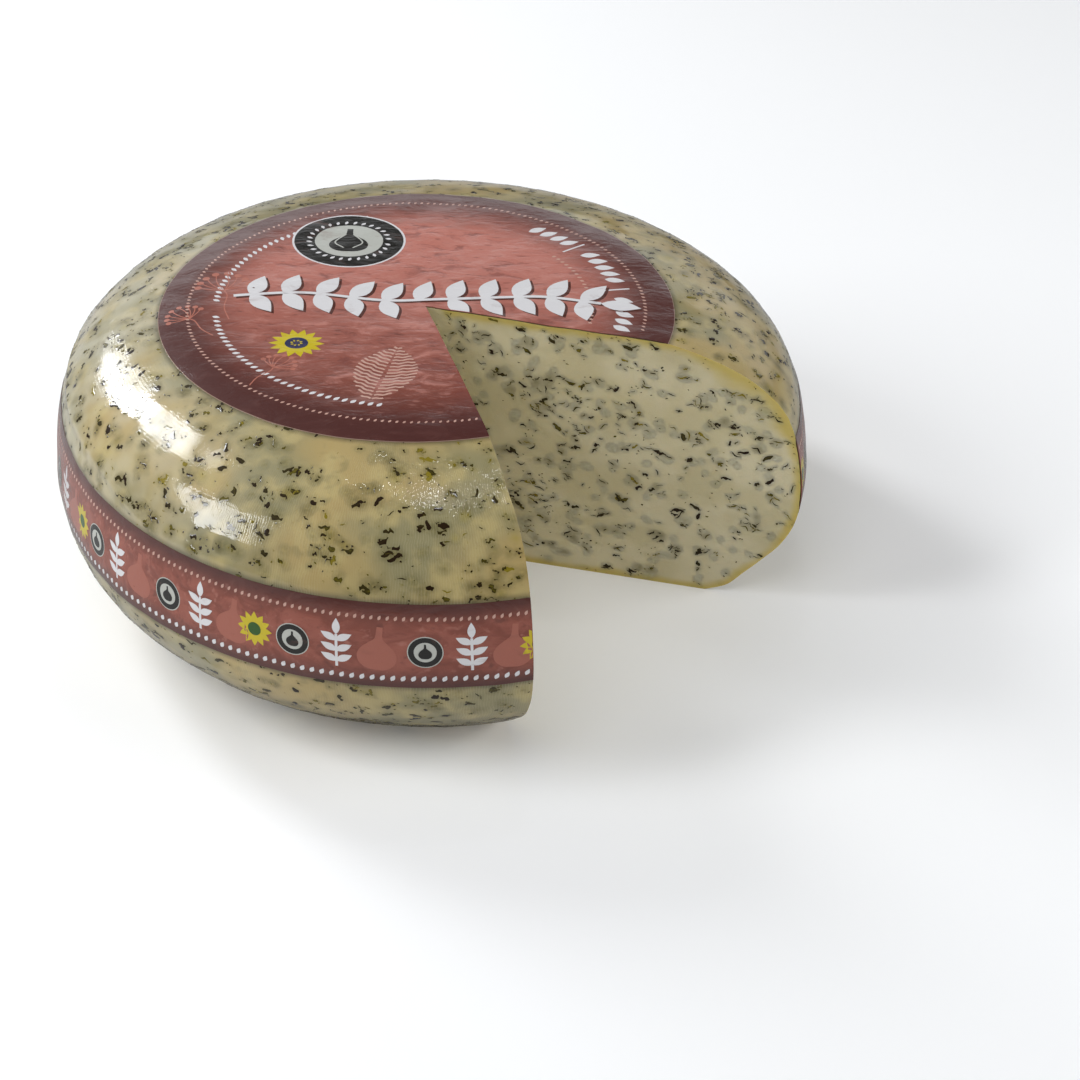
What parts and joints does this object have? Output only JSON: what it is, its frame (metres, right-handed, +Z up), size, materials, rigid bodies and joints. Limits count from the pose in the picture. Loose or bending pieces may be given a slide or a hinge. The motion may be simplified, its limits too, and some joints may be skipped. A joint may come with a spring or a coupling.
{
  "type": "goat gouda",
  "caption": "Round herb goat gouda with rounded shoulders and a flat base, one wedge cut out to the middle, a round printed label on top and a printed band round its side.",
  "frame": {"origin": "middle of the wheel's outline at its flat base", "axes": "+Z up along the wheel's axis, +X and -Y either side of the missing wedge, whose middle points between them"},
  "size_m": [0.2419, 0.258, 0.0934],
  "materials": {
    "cheese": "ivory goat cheese flecked with green herbs, under a clear glossy coating on its rind",
    "label": "terracotta printed film under the cheese's clear coating",
    "band": "terracotta printed film under the cheese's clear coating"
  },
  "bodies": {
    "root": {"cheese_wheel": "cheese", "top_label": "label", "side_band": "band"}
  },
  "joints": []
}
